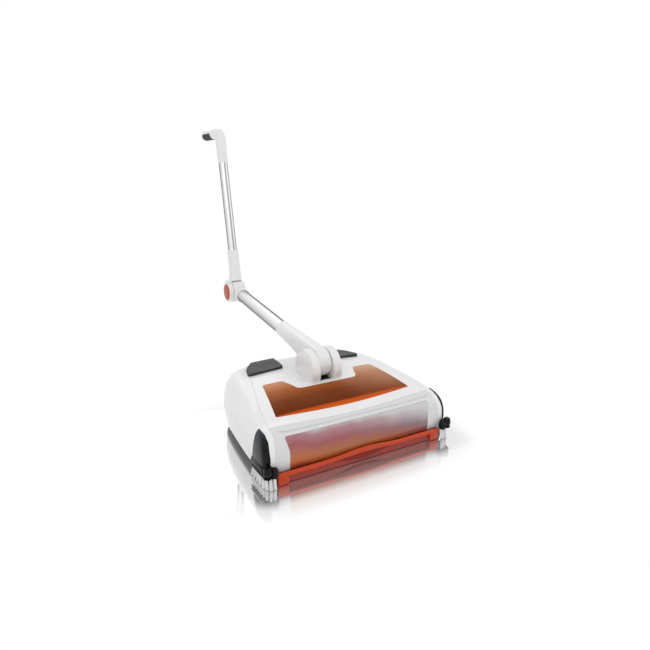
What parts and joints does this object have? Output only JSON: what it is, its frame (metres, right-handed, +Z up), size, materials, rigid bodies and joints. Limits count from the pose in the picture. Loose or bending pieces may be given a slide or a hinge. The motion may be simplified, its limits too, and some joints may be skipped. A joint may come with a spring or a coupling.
{
  "type": "cordless floor sweeper",
  "caption": "Cordless floor sweeper with a bristle roller, clear front window, lift-out dust box, foot pedals and a jointed pole with a cane grip.",
  "frame": {"origin": "middle of the bounding box's base, on the floor", "axes": "+Z up; the head's front and window face -Y, and the pole reaches back to +Y; +X to the right of someone who looks along +Y"},
  "size_m": [0.3352, 0.7006, 0.522],
  "materials": {
    "white": "glossy warm white moulding",
    "charcoal": "satin dark grey moulding",
    "black": "satin black moulding",
    "amber": "glossy see-through orange-brown moulding",
    "clear": "clear glossy moulding",
    "orange": "glossy orange moulding",
    "silver": "satin anodised tube",
    "steel": "bright steel",
    "cells": "steel cells in a smooth wrap",
    "bristle": "white nylon bristle",
    "brush_orange": "orange nylon bristle",
    "soft": "soft dark grey grip rubber",
    "grey": "matte grey moulding",
    "rubber": "black rubber",
    "board": "green lacquered board"
  },
  "bodies": {
    "head": {"housing": "white", "top_panel": "white", "window_frame": "white", "front_window": "clear", "front_lip": "amber", "corner_guard_right": "black", "corner_guard_left": "black", "side_tufts_right": "bristle", "side_tufts_left": "bristle", "drive_belt": "rubber", "drive_motor": "steel", "chassis": "grey", "battery_door": "grey", "battery_pack": "cells", "circuit_board": "board", "charge_socket": "black", "power_switch": "black", "rear_axle_right": "steel", "rear_axle_left": "steel", "pedal_pin_right": "steel", "pedal_pin_left": "steel", "pedal_spring_right": "steel", "pedal_spring_left": "steel", "base_screw_front_right": "steel", "base_screw_front_left": "steel", "base_screw_rear_right": "steel", "base_screw_rear_left": "steel", "handle_bracket": "white", "slot_liner": "black", "pivot_pin": "steel"},
    "dust_box": {"dust_window": "amber", "dust_tray": "amber"},
    "brush": {"brush_core": "grey", "brush_bristles": "brush_orange", "brush_axle": "steel", "brush_pulley": "grey"},
    "motor_rotor": {"motor_pulley": "steel"},
    "wheel_right": {"rear_wheel_right": "rubber"},
    "wheel_left": {"rear_wheel_left": "rubber"},
    "caster_right": {"front_caster_right": "charcoal"},
    "caster_left": {"front_caster_left": "charcoal"},
    "bumper_right": {"corner_roller_right": "black"},
    "bumper_left": {"corner_roller_left": "black"},
    "pedal_right": {"foot_pedal_right": "charcoal"},
    "pedal_left": {"foot_pedal_left": "charcoal"},
    "lower_pole": {"pole_socket": "white", "lower_tube": "silver", "elbow_lower": "white"},
    "upper_pole": {"elbow_upper": "white", "elbow_pin": "steel", "button_spring": "steel", "upper_tube": "silver", "grip": "white", "grip_pad": "soft"},
    "lock_button": {"elbow_button": "orange"}
  },
  "joints": [
    {"name": "handle_tilt", "type": "hinge", "parent": "head", "child": "lower_pole", "pos_m": [0, -0.19514, 0.117], "axis": [1, 0, 0], "range_deg": [-3, 80]},
    {"name": "elbow_fold", "type": "hinge", "parent": "lower_pole", "child": "upper_pole", "pos_m": [0, 0.18235, 0.16906], "axis": [1, 0, 0], "range_deg": [-72.5, 17.5]},
    {"name": "lock_button_press", "type": "slide", "parent": "upper_pole", "child": "lock_button", "axis": [1, 0, 0], "range_m": [0, 0.0024], "stiffness_N_per_m": 1500, "springref_m": -0.004, "deforming": ["button_spring"]},
    {"name": "brush_spin", "type": "hinge", "parent": "head", "child": "brush", "pos_m": [0, -0.30314, 0.0285], "axis": [1, 0, 0], "continuous": true},
    {"name": "motor_spin", "type": "hinge", "parent": "head", "child": "motor_rotor", "pos_m": [0, -0.19014, 0.04], "axis": [1, 0, 0], "continuous": true},
    {"name": "wheel_spin_right", "type": "hinge", "parent": "head", "child": "wheel_right", "pos_m": [0.125, -0.13514, 0.021], "axis": [1, 0, 0], "continuous": true},
    {"name": "wheel_spin_left", "type": "hinge", "parent": "head", "child": "wheel_left", "pos_m": [-0.125, -0.13514, 0.021], "axis": [1, 0, 0], "continuous": true},
    {"name": "caster_spin_right", "type": "hinge", "parent": "head", "child": "caster_right", "pos_m": [0.053, -0.26114, 0.008], "axis": [1, 0, 0], "continuous": true},
    {"name": "caster_spin_left", "type": "hinge", "parent": "head", "child": "caster_left", "pos_m": [-0.053, -0.26114, 0.008], "axis": [1, 0, 0], "continuous": true},
    {"name": "bumper_spin_right", "type": "hinge", "parent": "head", "child": "bumper_right", "pos_m": [0.161, -0.34164, 0.0284], "axis": [0, 0, 1], "continuous": true},
    {"name": "bumper_spin_left", "type": "hinge", "parent": "head", "child": "bumper_left", "pos_m": [-0.161, -0.34164, 0.0284], "axis": [0, 0, 1], "continuous": true},
    {"name": "pedal_press_right", "type": "hinge", "parent": "head", "child": "pedal_right", "pos_m": [0, -0.13614, 0.081], "axis": [1, 0, 0], "range_deg": [-4, 0], "stiffness_Nm_per_rad": 8, "springref_deg": 4.01, "deforming": ["pedal_spring_right"]},
    {"name": "pedal_press_left", "type": "hinge", "parent": "head", "child": "pedal_left", "pos_m": [0, -0.13614, 0.081], "axis": [1, 0, 0], "range_deg": [-4, 0], "stiffness_Nm_per_rad": 8, "springref_deg": 4.01, "deforming": ["pedal_spring_left"]},
    {"name": "dust_box_lift", "type": "slide", "parent": "head", "child": "dust_box", "axis": [0, 0, 1], "range_m": [0, 0.1]}
  ],
  "couplings": [
    {"joint": "motor_spin", "follows": "brush_spin", "ratio": 1.8571}
  ]
}
